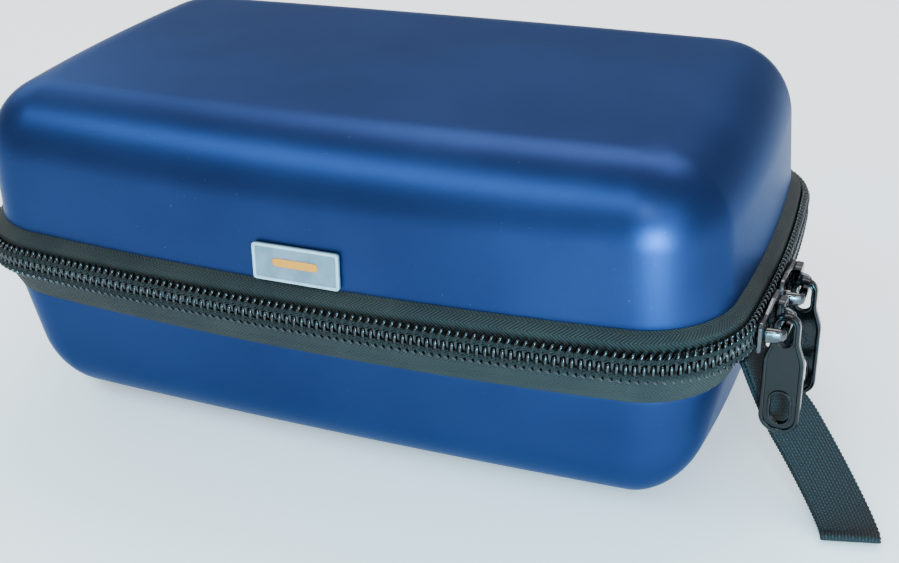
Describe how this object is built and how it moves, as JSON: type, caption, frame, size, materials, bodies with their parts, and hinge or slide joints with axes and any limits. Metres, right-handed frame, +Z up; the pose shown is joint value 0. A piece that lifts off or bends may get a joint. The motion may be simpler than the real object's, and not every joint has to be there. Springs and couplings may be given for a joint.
{
  "type": "hard-shell zip case for a handheld scanner",
  "caption": "Blue hard-shell zip case with rounded corners, hinged lid, coil zip with sliders and pulls, hand strap and fitted foam for a handheld microchip scanner.",
  "frame": {"origin": "middle of the flat underside, on the surface that the case stands on", "axes": "+X along the long side towards the parked sliders and hand strap, -Y the front with the tag, +Z up"},
  "size_m": [0.3068, 0.1597, 0.1167],
  "materials": {
    "shell": "satin metallic blue skin over moulded EVA, very fine brushed grain",
    "lining": "black brushed tricot lining",
    "binding": "black woven bias tape",
    "foam": "charcoal closed-cell foam, matt",
    "tape": "charcoal herringbone-woven zip tape",
    "coil": "glossy black nylon coil",
    "hinge": "charcoal woven fabric strip",
    "slider_metal": "black nickel, polished",
    "pull_metal": "gloss black enamel",
    "webbing": "black ribbed webbing",
    "tag": "translucent grey soft PVC",
    "tag_print": "orange raised print"
  },
  "bodies": {
    "base": {"base_shell": "shell", "base_lining": "lining", "base_rim_binding": "binding", "foam_insert": "foam", "base_zipper_tape": "tape", "base_coil": "coil", "hinge_band": "hinge", "right_end_stop": "slider_metal", "left_end_stop": "slider_metal"},
    "lid": {"lid_shell": "shell", "lid_lining": "lining", "lid_rim_binding": "binding", "lid_zipper_tape": "tape", "lid_coil": "coil", "side_tag": "tag", "tag_mark": "tag_print"},
    "front_slider": {"front_slider_body": "slider_metal", "front_slider_bridge": "slider_metal"},
    "front_pull": {"front_pull_tab": "pull_metal"},
    "rear_slider": {"rear_slider_body": "slider_metal", "rear_slider_bridge": "slider_metal"},
    "rear_pull": {"rear_pull_tab": "pull_metal"},
    "strap": {"hand_strap": "webbing"}
  },
  "joints": [
    {"name": "lid_hinge", "type": "hinge", "parent": "base", "child": "lid", "pos_m": [0, 0.081, 0.0625], "axis": [-1, 0, 0], "range_deg": [0, 180], "deforming": ["hinge_band"]},
    {"name": "front_slider_travel", "type": "hinge", "parent": "base", "child": "front_slider", "pos_m": [-0.3875, 0, 0.0625], "axis": [0, 0, 1], "range_deg": [-0.99, 0]},
    {"name": "rear_slider_travel", "type": "hinge", "parent": "base", "child": "rear_slider", "pos_m": [-0.3875, 0, 0.0625], "axis": [0, 0, 1], "range_deg": [0, 5.5]},
    {"name": "front_pull_swing", "type": "hinge", "parent": "front_slider", "child": "front_pull", "pos_m": [0.13913, -0.038, 0.0625], "axis": [-0.072, -0.9974, 0], "range_deg": [0, 150]},
    {"name": "rear_pull_swing", "type": "hinge", "parent": "rear_slider", "child": "rear_pull", "pos_m": [0.14029, -0.0148, 0.0625], "axis": [-0.028, -0.9996, 0], "range_deg": [0, 150]},
    {"name": "strap_swing", "type": "hinge", "parent": "base", "child": "strap", "pos_m": [0.12725, -0.02605, 0.0456], "axis": [0, -1, 0], "range_deg": [0, 85]}
  ]
}
